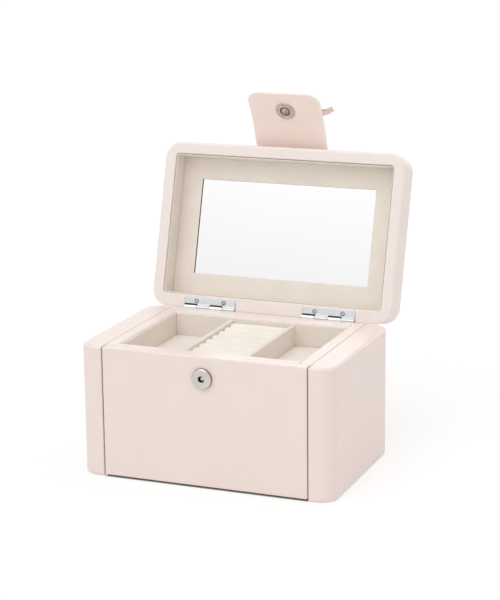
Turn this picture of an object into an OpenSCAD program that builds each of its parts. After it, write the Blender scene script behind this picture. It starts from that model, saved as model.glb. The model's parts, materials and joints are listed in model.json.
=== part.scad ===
// Vanity box with a mirror lid, a lined tray with ring rolls, a deep drawer and a snap flap.
// Millimetres, +Z up. The origin is the centre of the base on the surface it stands on.
// The front faces -Y. The lid is drawn open and leaning back, as it rests on its hinges.

/* [Body] */
// Width over both cheeks
body_w = 230; // [200:1:280]
// Depth from the drawer front's face to the back
body_d = 150; // [130:1:190]
// Height of the body without the lid
body_h = 115; // [100:1:150]
// Width of each rounded end block
cheek_w = 22; // [18:0.5:30]
// Plan radius of the outer corners
corner_r = 15; // [8:0.5:17]
// Rounding of the outer edges
edge_r = 2.5; // [1:0.25:3]
// Rounding of the edges along the seams
seam_r = 1.2; // [0.6:0.1:1.5]
// Thickness of the side boards, seen as the tray's side rims
side_t = 10.5; // [8:0.5:14]
// Thickness of the back panel
back_t = 9; // [7:0.5:12]
// Thickness of the bottom board
bottom_t = 4; // [3:0.5:6]
// Thickness of the felt under the base
felt_t = 1; // [0.6:0.1:2]

/* [Tray] */
// Depth of the tray from the rim to its lined floor
tray_depth = 21; // [16:0.5:28]
// Thickness of the board that carries the tray
tray_board_t = 3; // [2:0.5:5]
// Thickness of the rail in front of the tray
front_rail_t = 7.7; // [6:0.1:11]
// Thickness of the rail that backs the hinges
hinge_rail_t = 9; // [7:0.5:13]
// Thickness of the lining cards and floor pads
lining_t = 1.5; // [0.8:0.1:2]
// How far the lining's edge lies below the rim
lining_drop = 1; // [0.5:0.1:2]
// Thickness of the tray dividers
divider_t = 4; // [3:0.5:6]
// How far the dividers lie below the rim
divider_drop = 2.5; // [1:0.5:5]
// Middle of the left divider
divider_left_x = -27; // [-36:1:-20]
// Middle of the right divider
divider_right_x = 31; // [22:1:38]
// Number of ring rolls
roll_count = 8; // [6:1:10]
// Gap between neighbouring rolls
roll_gap = 0.3; // [0.2:0.1:0.8]
// How far the rolls lie below the dividers
roll_drop = 1.5; // [0.5:0.5:4]
// Rounding of a roll's ends
roll_end_r = 2.2; // [1:0.2:3]
// How much thicker a roll is in the middle of its length
roll_crown = 0.3; // [0.1:0.1:0.6]

/* [Drawer] */
// Thickness of the drawer front
front_t = 8; // [6:0.5:10]
// Gap around the drawer front
front_gap = 0.8; // [0.5:0.1:1.5]
// Gap under the drawer front
toe_gap = 1.6; // [1:0.1:3]
// Gap between the drawer front and the carcass behind it
back_gap = 0.4; // [0.2:0.1:1]
// Height of the drawer's walls above its underside
drawer_wall_h = 67; // [50:1:69]
// Thickness of the drawer's walls
drawer_t = 5; // [4:0.5:7]
// Thickness of the drawer's floor
drawer_floor_t = 3; // [2:0.5:4]
// Side play of the drawer in the carcass
drawer_play = 0.8; // [0.5:0.1:1.2]
// Running gap under the drawer
drawer_lift = 0.3; // [0.2:0.05:0.5]
// Gap behind the drawer
drawer_rear_gap = 3; // [2:0.5:6]

/* [Lid] */
// Thickness of the whole lid
lid_h = 26.5; // [22:0.5:34]
// Thickness of the lid's top board
lid_top_t = 3.5; // [3:0.5:5]
// Width of the lid's rim
lid_rim = 10.5; // [9.5:0.5:14]
// Seam between the body and the closed lid
lid_gap = 0.4; // [0.3:0.1:0.8]
// Angle by which the lid stands open
lid_open = 106.5; // [95:0.5:115]
// Rounding of the lid's top edges
lid_edge_r = 3; // [1:0.25:3.5]
// Thickness of the lid's wall lining
lid_lining_t = 1.2; // [0.8:0.1:2]
// Thickness of the mirror glass
mirror_t = 1.9; // [1.5:0.1:3]
// Thickness of the mat in front of the mirror
mat_t = 1.5; // [1:0.1:2.5]
// Width of the mat around the mirror's window
mat_w = 20.5; // [14:0.5:28]
// How far the glass runs under the mat
mirror_lap = 4; // [2:0.5:8]

/* [Hinges] */
// Distance of each hinge's middle from the seam at the cheek
hinge_in = 36; // [30:1:48]
// Length of a hinge
hinge_w = 49.5; // [40:0.5:52]
// Width of a hinge leaf from the back face
leaf_w = 8.8; // [8.8:0.1:10]
// Thickness of a hinge leaf
leaf_t = 1; // [0.8:0.1:1.4]
// Radius of a knuckle
knuckle_r = 2; // [1.8:0.1:2.4]
// Radius of the hinge pin
pin_r = 1; // [0.8:0.05:1.2]
// Knuckles in a hinge
knuckles = 4; // [4:2:6]
// Distance of the pin behind the back face
hinge_out = 0.6; // [0.4:0.1:1]
// Distance of the screws from a hinge's middle
screw_dx = 13.2; // [10:0.2:16]
// Distance of the screws from the back face
screw_in = 5.3; // [5.2:0.1:5.8]
// Radius of a screw's head
screw_head_r = 1.9; // [1.6:0.1:2.1]
// Radius of a screw's shank
screw_r = 1; // [0.8:0.1:1.2]
// Length of a screw
screw_l = 7; // [5:0.5:8]

/* [Flap] */
// Width of the flap
flap_w = 70; // [50:1:80]
// Thickness of the flap's leather
flap_t = 2.4; // [1.8:0.2:3]
// Radius of the flap's free corners
flap_r = 13; // [6:0.5:20]
// How far the flap reaches past the snap
flap_end = 19; // [14:0.5:20]
// Depth of the flap's root in the lid
root_in = 8; // [5:0.5:8.5]
// Lean of the open flap in front of the upright
flap_lean = 30; // [0:1:45]
// Distance of the snap below the body's rim
snap_drop = 18.6; // [16:0.1:24]
// Radius of the snap's halves
snap_r = 9; // [7:0.25:10]
// How far the snap's socket stands proud of the drawer front
snap_h = 3.2; // [2.4:0.1:4]
// Radius of the stud's post
post_r = 1.9; // [1.5:0.1:2.2]
// Length of the stud's post
post_l = 2.2; // [1.5:0.1:2.4]
// Thickness of the stud's plate
plate_t = 1; // [0.8:0.1:1.5]
// Length of the bow
bow_w = 78; // [50:1:84]
// Shift of the bow from the flap's middle
bow_x = 4; // [-6:1:6]
// Width of the bow's ribbon
bow_h = 6; // [5:0.5:12]
// Height of the bow's loops
bow_rise = 5.6; // [4:0.2:6]
// Thickness of the bow's ribbon
ribbon_t = 1; // [0.8:0.1:1.4]
// Width of the band around the bow's middle
wrap_w = 8; // [5:0.5:12]

/* [Hidden] */
$fn = 48;

blush = [0.91, 0.85, 0.82];
cream = [0.86, 0.83, 0.78];
nickel = [0.75, 0.76, 0.78];
board = [0.72, 0.62, 0.50];

// Clearances
fit = 0.05;
cut = 1;
seat = 0.1;

// Plan of the body
half_w = body_w / 2;
half_d = body_d / 2;
seam_x = half_w - cheek_w;
tray_x = seam_x - side_t;
carcass_y0 = -half_d + front_t + back_gap;
back_y0 = half_d - back_t;
tray_y0 = carcass_y0 + front_rail_t;
tray_y1 = back_y0 - hinge_rail_t;

// Levels of the body
board_z = felt_t + bottom_t;
tray_floor_z = body_h - tray_depth;
tray_deck_z = tray_floor_z - lining_t;
divider_z = body_h - divider_drop;

// Inside the tray's lining
bay_x = tray_x - lining_t;
bay_y0 = tray_y0 + lining_t;
bay_y1 = tray_y1 - lining_t;
roll_x0 = divider_left_x + divider_t / 2;
roll_x1 = divider_right_x - divider_t / 2;
roll_pitch = (bay_y1 - bay_y0) / roll_count;
roll_r = (roll_pitch - roll_gap) / 2;
roll_len = roll_x1 - roll_x0 - 2 * roll_gap;
roll_z = divider_z - roll_drop - roll_r;

// Drawer
drawer_x = tray_x - drawer_play;
drawer_y0 = -half_d + front_t;
drawer_y1 = back_y0 - drawer_rear_gap;
drawer_z0 = board_z + drawer_lift;
drawer_z1 = drawer_z0 + drawer_wall_h;
snap_z = body_h - snap_drop;

// Lid, laid out closed
lid_z0 = body_h + lid_gap;
lid_z1 = lid_z0 + lid_h;
frame_z1 = lid_z1 - lid_top_t;
recess_x = half_w - lid_rim;
recess_y = half_d - lid_rim - 0.4;
mirror_z = frame_z1 - mirror_t;
mat_z = mirror_z - mat_t;

// Hinges
hinge_x = seam_x - hinge_in;
axis_y = half_d + hinge_out;
axis_z = body_h + lid_gap / 2;
knuckle_w = hinge_w / knuckles;

// Flap axis and shape, laid out closed
root_z = frame_z1 - flap_t / 2;
flap_y = -half_d - flap_t / 2 - 0.3;
flap_len = root_z - snap_z + flap_end;
stud_y = -half_d - snap_h - 0.3;
flap_mid_y = stud_y - plate_t - flap_t / 2;
flap_off = flap_y - flap_mid_y;
sway_len = root_z - snap_z - snap_r - 0.5;
flap_bend = lid_open - 90 + flap_lean;
wrap_rise = bow_rise / 2;

// Box between two corners
module block(a, b) {
    translate(a) cube(b - a);
}

// Rounded rectangle about the origin, with exact arcs
module round_plan(w, d, r) {
    square([w - 2 * r, d], center = true);
    square([w, d - 2 * r], center = true);
    for (x = [-1, 1], y = [-1, 1]) translate([x * (w / 2 - r), y * (d / 2 - r)]) circle(r);
}

// Disc of radius r with rounded rims, standing from z0 to z1
module pebble(r, e, z0, z1) {
    translate([0, 0, z0]) rotate_extrude($fn = 32) intersection() {
        square([r + cut, z1 - z0]);
        union() {
            square([r - e, z1 - z0]);
            translate([0, e]) square([r, z1 - z0 - 2 * e]);
            for (z = [e, z1 - z0 - e]) translate([r - e, z]) circle(e, $fn = 24);
        }
    }
}

// End block with two large outer corners on the right-hand side
module cheek() {
    hull() {
        for (y = [-1, 1]) {
            translate([half_w - corner_r, y * (half_d - corner_r), 0]) intersection() {
                pebble(corner_r, edge_r, 0, body_h);
                block([0, -corner_r, 0], [corner_r, corner_r, body_h]);
            }
            translate([seam_x + seam_r, y * (half_d - seam_r), 0])
                pebble(seam_r, seam_r - 0.01, 0, body_h);
        }
    }
}

// Turns closed-lid places into the open pose
module as_open() {
    translate([0, axis_y, axis_z]) rotate([-lid_open, 0, 0]) translate([0, -axis_y, -axis_z])
        children();
}

// Turns closed-flap places into the open pose
module as_flap() {
    as_open() translate([0, flap_y, root_z]) rotate([flap_bend - 90, 0, 0])
        translate([0, -flap_y, -root_z]) children();
}

// Cylinder along X
module rod(x0, x1, y, z, r) {
    translate([x0, y, z]) rotate([0, 90, 0]) cylinder(r = r, h = x1 - x0);
}

// Cylinder along Y, from y0 towards +Y
module peg(x, y0, y1, z, r) {
    translate([x, y0, z]) rotate([-90, 0, 0]) cylinder(r = r, h = y1 - y0);
}

// Room for the knuckles of both hinges
module knuckle_room() {
    for (s = [-1, 1]) {
        rod(s * hinge_x - hinge_w / 2 - 0.3, s * hinge_x + hinge_w / 2 + 0.3, axis_y, axis_z,
            knuckle_r + 0.3);
    }
}

// Countersunk screw with its head at the origin, pointing up
module screw(r, head_r, l) {
    cylinder(r1 = head_r, r2 = r, h = leaf_t * 0.9);
    cylinder(r = r, h = l);
}

// Knuckles of one leaf, taking every second place from place k0
module knuckle_row(x, k0) {
    for (k = [k0 : 2 : knuckles - 1]) {
        x0 = x - hinge_w / 2 + k * knuckle_w;
        rod(x0 + 0.15, x0 + knuckle_w - 0.15, axis_y, axis_z, knuckle_r);
    }
}

// Gaps in a leaf where the other leaf's knuckles turn
module knuckle_gaps(x, k0) {
    for (k = [k0 : 2 : knuckles - 1]) {
        x0 = x - hinge_w / 2 + k * knuckle_w;
        rod(x0 - 0.15, x0 + knuckle_w + 0.15, axis_y, axis_z, knuckle_r + 0.3);
    }
}

// Leaf on the back panel of the hinge at x
module body_leaf(x) {
    color(nickel) difference() {
        union() {
            block([x - hinge_w / 2, half_d - leaf_t, body_h - leaf_w],
                [x + hinge_w / 2, half_d, body_h]);
            knuckle_row(x, 0);
        }
        knuckle_gaps(x, 1);
        rod(x - hinge_w, x + hinge_w, axis_y, axis_z, pin_r + fit);
        for (s = [-1, 1]) translate([x + s * screw_dx, half_d, body_h - screw_in])
            rotate([90, 0, 0]) screw(screw_r + fit, screw_head_r + fit, screw_l);
    }
}

// Leaf on the lid's rim of the hinge at x, laid out closed
module lid_leaf(x) {
    color(nickel) difference() {
        union() {
            block([x - hinge_w / 2, half_d - leaf_w, lid_z0],
                [x + hinge_w / 2, half_d, lid_z0 + leaf_t]);
            knuckle_row(x, 1);
        }
        knuckle_gaps(x, 0);
        rod(x - hinge_w, x + hinge_w, axis_y, axis_z, pin_r + fit);
        for (s = [-1, 1]) translate([x + s * screw_dx, half_d - screw_in, lid_z0])
            screw(screw_r + fit, screw_head_r + fit, screw_l);
    }
}

module base_felt() {
    color("dimgray") block([-seam_x, carcass_y0, 0], [seam_x, half_d, felt_t]);
}

module bottom_board() {
    color(board) block([-seam_x, carcass_y0, felt_t], [seam_x, half_d, board_z]);
}

module left_cheek() {
    color(blush) mirror([1, 0, 0]) cheek();
}

module right_cheek() {
    color(blush) cheek();
}

module left_side_board() {
    color(blush) block([-seam_x, carcass_y0, board_z], [-tray_x, back_y0, body_h]);
}

module right_side_board() {
    color(blush) block([tray_x, carcass_y0, board_z], [seam_x, back_y0, body_h]);
}

module back_panel() {
    color(blush) difference() {
        block([-seam_x, back_y0, board_z], [seam_x, half_d, body_h]);
        knuckle_room();
        for (s = [-1, 1]) {
            block([s * hinge_x - hinge_w / 2, half_d - leaf_t, body_h - leaf_w],
                [s * hinge_x + hinge_w / 2, half_d + cut, body_h + cut]);
            for (t = [-1, 1]) peg(s * hinge_x + t * screw_dx, half_d - screw_l - cut / 2,
                half_d + cut, body_h - screw_in, screw_r + fit);
        }
    }
}

module tray_board() {
    color(board) block([-tray_x, carcass_y0, tray_deck_z - tray_board_t],
        [tray_x, back_y0, tray_deck_z]);
}

module front_rail() {
    color(blush) block([-tray_x, carcass_y0, tray_deck_z], [tray_x, tray_y0, body_h]);
}

module hinge_rail() {
    color(blush) block([-tray_x, tray_y1, tray_deck_z], [tray_x, back_y0, body_h]);
}

module tray_lining_left() {
    color(cream) block([-tray_x, tray_y0, tray_deck_z], [-bay_x, tray_y1, body_h - lining_drop]);
}

module tray_lining_right() {
    color(cream) block([bay_x, tray_y0, tray_deck_z], [tray_x, tray_y1, body_h - lining_drop]);
}

module tray_lining_front() {
    color(cream) block([-bay_x, tray_y0, tray_deck_z], [bay_x, bay_y0, body_h - lining_drop]);
}

module tray_lining_rear() {
    color(cream) block([-bay_x, bay_y1, tray_deck_z], [bay_x, tray_y1, body_h - lining_drop]);
}

module left_divider() {
    color(cream) block([divider_left_x - divider_t / 2, bay_y0, tray_deck_z],
        [roll_x0, bay_y1, divider_z]);
}

module right_divider() {
    color(cream) block([roll_x1, bay_y0, tray_deck_z],
        [divider_right_x + divider_t / 2, bay_y1, divider_z]);
}

module left_floor_pad() {
    color(cream) block([-bay_x, bay_y0, tray_deck_z],
        [divider_left_x - divider_t / 2, bay_y1, tray_floor_z]);
}

module right_floor_pad() {
    color(cream) block([divider_right_x + divider_t / 2, bay_y0, tray_deck_z],
        [bay_x, bay_y1, tray_floor_z]);
}

// Foam block under the ring rolls
module ring_base() {
    color(cream) block([roll_x0, bay_y0, tray_deck_z],
        [roll_x1, bay_y1, roll_z - roll_r - roll_crown - seat]);
}

// One padded roll along X, fuller in its middle, with rounded ends
module ring_roll() {
    steps = 12;
    side = [for (i = [0 : steps]) let (u = i / steps)
        [roll_r - roll_crown * pow(2 * u - 1, 2), roll_end_r + u * (roll_len - 2 * roll_end_r)]];
    turn = [for (i = [0 : 5]) let (a = i * 18)
        [roll_r - roll_crown - roll_end_r * (1 - sin(a)), roll_end_r * (1 - cos(a))]];
    far = [for (i = [5 : -1 : 0]) let (a = i * 18)
        [roll_r - roll_crown - roll_end_r * (1 - sin(a)),
         roll_len - roll_end_r * (1 - cos(a))]];
    rotate([0, 90, 0]) rotate_extrude()
        polygon(concat([[0, 0]], turn, [for (i = [1 : steps - 1]) side[i]], far,
            [[0, roll_len]]));
}

module ring_rolls() {
    color([0.93, 0.90, 0.85]) for (i = [0 : roll_count - 1])
        translate([roll_x0 + roll_gap, bay_y0 + (i + 0.5) * roll_pitch, roll_z]) ring_roll();
}

module left_hinge_body_leaf() {
    body_leaf(-hinge_x);
}

module right_hinge_body_leaf() {
    body_leaf(hinge_x);
}

module hinge_pins() {
    color(nickel) for (s = [-1, 1])
        rod(s * hinge_x - hinge_w / 2 + 0.2, s * hinge_x + hinge_w / 2 - 0.2, axis_y, axis_z,
            pin_r);
}

module hinge_screws_body() {
    color(nickel) for (s = [-1, 1], t = [-1, 1])
        translate([s * hinge_x + t * screw_dx, half_d, body_h - screw_in])
            rotate([90, 0, 0]) screw(screw_r, screw_head_r, screw_l);
}

module lid_frame() {
    color(blush) as_open() difference() {
        translate([0, 0, lid_z0]) linear_extrude(frame_z1 - lid_z0)
            round_plan(body_w, body_d, corner_r);
        block([-recess_x, -recess_y, lid_z0 - cut], [recess_x, recess_y, frame_z1 + cut]);
        block([-flap_w / 2, -half_d - cut, frame_z1 - flap_t],
            [flap_w / 2, -half_d + root_in, frame_z1 + cut]);
        knuckle_room();
        for (s = [-1, 1]) {
            block([s * hinge_x - hinge_w / 2, half_d - leaf_w, lid_z0 - cut],
                [s * hinge_x + hinge_w / 2, half_d + cut, lid_z0 + leaf_t]);
            for (t = [-1, 1])
                translate([s * hinge_x + t * screw_dx, half_d - screw_in, lid_z0 - cut])
                    cylinder(r = screw_r + fit, h = screw_l + 1.5 * cut);
        }
    }
}

module lid_top() {
    color(blush) as_open() intersection() {
        block([-half_w, -half_d, frame_z1], [half_w, half_d, lid_z1]);
        hull() for (x = [-1, 1], y = [-1, 1])
            translate([x * (half_w - corner_r), y * (half_d - corner_r), 0])
                pebble(corner_r, lid_edge_r, lid_z0, lid_z1);
    }
}

// Lined walls of the lid's recess
module lid_lining() {
    color(cream) as_open() difference() {
        block([-recess_x, -recess_y, lid_z0 + lining_drop], [recess_x, recess_y, mat_z]);
        block([-recess_x + lid_lining_t, -recess_y + lid_lining_t, lid_z0],
            [recess_x - lid_lining_t, recess_y - lid_lining_t, mat_z + cut]);
    }
}

// Half sizes of the mirror's window
window_x = recess_x - mat_w;
window_y = recess_y - mat_w;

module mirror_spacer() {
    color(board) as_open() difference() {
        block([-recess_x, -recess_y, mirror_z], [recess_x, recess_y, frame_z1]);
        block([-window_x - mirror_lap - seat, -window_y - mirror_lap - seat, mirror_z - cut],
            [window_x + mirror_lap + seat, window_y + mirror_lap + seat, frame_z1 + cut]);
    }
}

module mirror_mat() {
    color(cream) as_open() difference() {
        block([-recess_x, -recess_y, mat_z], [recess_x, recess_y, mirror_z]);
        block([-window_x, -window_y, mat_z - cut], [window_x, window_y, mirror_z + cut]);
    }
}

module mirror_glass() {
    color([0.93, 0.95, 0.96]) as_open()
        block([-window_x - mirror_lap, -window_y - mirror_lap, mirror_z],
            [window_x + mirror_lap, window_y + mirror_lap, frame_z1]);
}

module left_hinge_lid_leaf() {
    as_open() lid_leaf(-hinge_x);
}

module right_hinge_lid_leaf() {
    as_open() lid_leaf(hinge_x);
}

module hinge_screws_lid() {
    color(nickel) as_open() for (s = [-1, 1], t = [-1, 1])
        translate([s * hinge_x + t * screw_dx, half_d - screw_in, lid_z0])
            screw(screw_r, screw_head_r, screw_l);
}

// Leather tongue that holds the flap in the lid's front edge
module flap_root() {
    color(blush) as_open()
        block([-flap_w / 2, flap_y + flap_t / 2 + seat, frame_z1 - flap_t],
            [flap_w / 2, -half_d + root_in, frame_z1]);
}

// Distance of the leather's middle from the axis plane, s along the flap
function sway(s) = let (u = min(1, s / sway_len)) flap_off * u * u * (3 - 2 * u);

// Leather panel with a rounded nose on its axis, bowed out over the snap
module flap_panel() {
    steps = 12;
    path = [for (i = [0 : steps]) max(i / steps * sway_len, flap_t / 8)];
    nose = [for (n = [1, -1]) [0, n * flap_t * 0.4]];
    inner = [for (s = path) [s, sway(s) - flap_t / 2]];
    outer = [for (i = [steps : -1 : 0]) [path[i], sway(path[i]) + flap_t / 2]];
    color(blush) as_flap() union() {
        rod(-flap_w / 2, flap_w / 2, flap_y, root_z, flap_t / 2);
        translate([0, flap_y, root_z]) rotate([0, 90, 0]) intersection() {
            translate([0, 0, -flap_w / 2]) linear_extrude(flap_w) mirror([0, 1])
                polygon(concat(inner, [[flap_len, flap_off - flap_t / 2],
                    [flap_len, flap_off + flap_t / 2]], outer, nose));
            rotate([90, 0, 0]) translate([0, 0, -20]) linear_extrude(40) {
                translate([-flap_t, -flap_w / 2])
                    square([flap_t + flap_len - flap_r, flap_w]);
                translate([-flap_t, -flap_w / 2 + flap_r])
                    square([flap_t + flap_len, flap_w - 2 * flap_r]);
                for (s = [-1, 1]) translate([flap_len - flap_r, s * (flap_w / 2 - flap_r)])
                    circle(flap_r);
            }
        }
    }
}

// Stud plate with its post, on the flap's inner face
module snap_stud() {
    color(nickel) as_flap() union() {
        peg(0, stud_y - plate_t, stud_y, snap_z, snap_r);
        peg(0, stud_y - plate_t / 2, stud_y + post_l, snap_z, post_r);
    }
}

// Outline of one ribbon loop, lying on the flap and pointing to +X
module loop_outline(r, root) {
    hull() {
        translate([bow_w / 2 - bow_rise / 2, bow_rise / 2]) circle(r, $fn = 32);
        translate([root + ribbon_t, ribbon_t + 0.2]) circle(r * 0.3, $fn = 16);
    }
}

// Two flat ribbon loops
module bow_loops() {
    color(blush) as_flap() translate([bow_x, flap_mid_y - flap_t / 2, snap_z - bow_h / 2])
        for (s = [0, 1]) mirror([s, 0, 0]) mirror([0, 1, 0]) linear_extrude(bow_h)
            difference() {
                loop_outline(bow_rise / 2, 0.2);
                loop_outline(bow_rise / 2 - ribbon_t, 3);
            }
}

// Ribbon wrapped around the middle of the bow
module bow_wrap() {
    color(blush) as_flap() translate([bow_x, flap_mid_y - flap_t / 2, snap_z]) difference() {
        block([-wrap_w / 2, -wrap_rise - ribbon_t, -bow_h / 2 - seat - ribbon_t],
            [wrap_w / 2, 0, bow_h / 2 + seat + ribbon_t]);
        block([-wrap_w, -wrap_rise, -bow_h / 2 - seat], [wrap_w, cut, bow_h / 2 + seat]);
    }
}

module drawer_front() {
    color(blush) hull() for (x = [-1, 1], y = [-half_d + seam_r, drawer_y0 - seam_r])
        translate([x * (seam_x - front_gap - seam_r), y, 0])
            pebble(seam_r, seam_r - 0.01, toe_gap, body_h);
}

module drawer_inner_front() {
    color(cream) block([-drawer_x + drawer_t, drawer_y0, drawer_z0 + drawer_floor_t],
        [drawer_x - drawer_t, drawer_y0 + drawer_t, drawer_z1]);
}

module drawer_left_side() {
    color(cream) block([-drawer_x, drawer_y0, drawer_z0],
        [-drawer_x + drawer_t, drawer_y1, drawer_z1]);
}

module drawer_right_side() {
    color(cream) block([drawer_x - drawer_t, drawer_y0, drawer_z0],
        [drawer_x, drawer_y1, drawer_z1]);
}

module drawer_back() {
    color(cream) block([-drawer_x + drawer_t, drawer_y1 - drawer_t, drawer_z0 + drawer_floor_t],
        [drawer_x - drawer_t, drawer_y1, drawer_z1]);
}

module drawer_floor() {
    color(board) block([-drawer_x + drawer_t, drawer_y0, drawer_z0],
        [drawer_x - drawer_t, drawer_y1, drawer_z0 + drawer_floor_t]);
}

module drawer_pad() {
    color(cream) block([-drawer_x + drawer_t, drawer_y0 + drawer_t, drawer_z0 + drawer_floor_t],
        [drawer_x - drawer_t, drawer_y1 - drawer_t, drawer_z0 + drawer_floor_t + lining_t]);
}

// Nickel cup of the snap on the drawer front, open towards the board
module snap_socket() {
    color(nickel) difference() {
        peg(0, -half_d - snap_h, -half_d, snap_z, snap_r);
        peg(0, -half_d - snap_h - cut, -half_d + cut, snap_z, post_r + 0.8);
        peg(0, -half_d - snap_h + 0.6, -half_d + cut, snap_z, snap_r - 0.8);
    }
}

module snap_magnet() {
    color("dimgray") difference() {
        peg(0, -half_d - snap_h + 0.6, -half_d, snap_z, snap_r - 0.8 - fit);
        peg(0, -half_d - snap_h - cut, -half_d + cut, snap_z, post_r + 0.8);
    }
}

// Rivet head at the bottom of the socket's hole
module snap_rivet() {
    color(nickel) peg(0, -half_d - 0.6, -half_d, snap_z, post_r + 0.8 - fit);
}

base_felt();
bottom_board();
left_cheek();
right_cheek();
left_side_board();
right_side_board();
back_panel();
tray_board();
front_rail();
hinge_rail();
tray_lining_left();
tray_lining_right();
tray_lining_front();
tray_lining_rear();
left_divider();
right_divider();
left_floor_pad();
right_floor_pad();
ring_base();
ring_rolls();
left_hinge_body_leaf();
right_hinge_body_leaf();
hinge_pins();
hinge_screws_body();
lid_frame();
lid_top();
lid_lining();
mirror_spacer();
mirror_glass();  // mirror
mirror_mat();
left_hinge_lid_leaf();
right_hinge_lid_leaf();
hinge_screws_lid();
flap_root();
flap_panel();
snap_stud();
bow_loops();
bow_wrap();
drawer_front();
drawer_inner_front();
drawer_left_side();
drawer_right_side();
drawer_back();
drawer_floor();
drawer_pad();
snap_socket();
snap_magnet();
snap_rivet();
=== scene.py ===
"""Vanity box with a mirror lid: leather covers, linings, padded ring rolls, nickel fittings and a studio."""
import json
import math
import bmesh
import bpy
from mathutils import Matrix, Vector, noise


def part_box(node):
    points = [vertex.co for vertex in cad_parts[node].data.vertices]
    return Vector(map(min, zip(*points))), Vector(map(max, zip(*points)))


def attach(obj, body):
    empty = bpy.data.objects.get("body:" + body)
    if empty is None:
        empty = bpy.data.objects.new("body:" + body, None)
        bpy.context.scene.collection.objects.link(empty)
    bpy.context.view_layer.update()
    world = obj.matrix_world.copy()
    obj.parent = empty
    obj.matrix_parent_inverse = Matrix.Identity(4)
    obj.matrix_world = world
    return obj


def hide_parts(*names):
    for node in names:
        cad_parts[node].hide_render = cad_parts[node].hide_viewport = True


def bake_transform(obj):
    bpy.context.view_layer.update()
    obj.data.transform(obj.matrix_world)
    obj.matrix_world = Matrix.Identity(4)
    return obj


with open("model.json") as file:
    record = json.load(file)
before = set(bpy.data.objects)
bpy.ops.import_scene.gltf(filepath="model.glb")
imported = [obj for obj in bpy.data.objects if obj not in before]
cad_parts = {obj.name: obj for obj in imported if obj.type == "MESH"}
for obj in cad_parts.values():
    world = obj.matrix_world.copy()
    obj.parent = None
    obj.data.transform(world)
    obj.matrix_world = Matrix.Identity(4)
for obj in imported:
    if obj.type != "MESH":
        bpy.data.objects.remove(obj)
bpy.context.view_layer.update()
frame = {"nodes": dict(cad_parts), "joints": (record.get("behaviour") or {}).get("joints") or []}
MM = 0.001

# Places taken from the frame
lid_joint = next(j for j in frame["joints"] if j["name"] == "lid_hinge")
HINGE_Y, HINGE_Z = lid_joint["pos_m"][1], lid_joint["pos_m"][2]
LID_SWING = math.radians(lid_joint["range_deg"][1])
cheek_low, cheek_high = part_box("right_cheek")
HALF_W, HALF_D, BODY_H = cheek_high.x, cheek_high.y, cheek_high.z
SEAM_X = cheek_low.x

# Real sizes of the covered parts
CORNER_R = 15 * MM
LID_GAP, LID_H, LID_TOP_T = 0.4 * MM, 26.5 * MM, 3.5 * MM
LID_RIM, LID_REAR_RIM = 10.5 * MM, 10.9 * MM
MIRROR_T, MAT_T, MAT_W, MIRROR_LAP = 1.9 * MM, 1.5 * MM, 20.5 * MM, 4 * MM
LID_Z0 = BODY_H + LID_GAP
LID_Z1 = LID_Z0 + LID_H
FRAME_Z1 = LID_Z1 - LID_TOP_T
RECESS_X, RECESS_Y = HALF_W - LID_RIM, HALF_D - LID_REAR_RIM
MIRROR_Z = FRAME_Z1 - MIRROR_T
MAT_Z = MIRROR_Z - MAT_T
WINDOW_X, WINDOW_Y = RECESS_X - MAT_W, RECESS_Y - MAT_W
HINGE_XS = (-57 * MM, 57 * MM)
HINGE_W = 49.5 * MM
KNUCKLE_R = 2 * MM
KNUCKLES = 4
KNUCKLE_ROOM = KNUCKLE_R + 0.3 * MM
SCREW_DX, SCREW_IN, SCREW_R = 13.2 * MM, 5.3 * MM, 1.85 * MM
SNAP_Z = BODY_H - 18.6 * MM
SNAP_R = 9 * MM
FLAP_W, FLAP_T = 69 * MM, 2.4 * MM
FLAP_CORNER = 10.5 * MM
FLAP_Y = -HALF_D - 1.5 * MM
ROOT_Z = FRAME_Z1 - FLAP_T / 2
FLAP_LEN = ROOT_Z - SNAP_Z + 19 * MM
FLAP_MID_Y = -HALF_D - 5.7 * MM
FLAP_OFF = FLAP_Y - FLAP_MID_Y
SWAY_LEN = ROOT_Z - SNAP_Z - SNAP_R - 0.5 * MM
FLAP_BEND = LID_SWING - math.radians(60)

# From the closed lid's place to the open one, and the same for the flap
OPEN_LID = (Matrix.Translation((0, HINGE_Y, HINGE_Z)) @ Matrix.Rotation(-LID_SWING, 4, "X")
            @ Matrix.Translation((0, -HINGE_Y, -HINGE_Z)))
OPEN_FLAP = (OPEN_LID @ Matrix.Translation((0, FLAP_Y, ROOT_Z))
             @ Matrix.Rotation(FLAP_BEND - math.pi / 2, 4, "X")
             @ Matrix.Translation((0, -FLAP_Y, -ROOT_Z)))


# ---- finishes
def tone(red, green, blue):
    """A colour from its values on a screen, 0 to 255."""
    def linear(v):
        v /= 255
        return v / 12.92 if v <= 0.04045 else ((v + 0.055) / 1.055) ** 2.4
    return (linear(red), linear(green), linear(blue), 1)


def add(tree, kind, inputs=None, **settings):
    """A node with its settings, and its inputs linked or set."""
    made = tree.nodes.new(kind)
    for key, value in settings.items():
        setattr(made, key, value)
    for key, value in (inputs or {}).items():
        if isinstance(value, bpy.types.NodeSocket):
            tree.links.new(value, made.inputs[key])
        else:
            made.inputs[key].default_value = value
    return made


def effect(name, inputs, outputs):
    """An empty node group with float inputs and outputs."""
    tree = bpy.data.node_groups.new(name, "ShaderNodeTree")
    for key, value in inputs:
        tree.interface.new_socket(name=key, in_out="INPUT",
                                  socket_type="NodeSocketFloat").default_value = value
    for key in outputs:
        tree.interface.new_socket(name=key, in_out="OUTPUT", socket_type="NodeSocketFloat")
    return tree, add(tree, "NodeGroupInput").outputs, add(tree, "NodeGroupOutput").inputs


def math_of(tree, operation, a, b):
    return add(tree, "ShaderNodeMath", {0: a, 1: b}, operation=operation).outputs[0]


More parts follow.
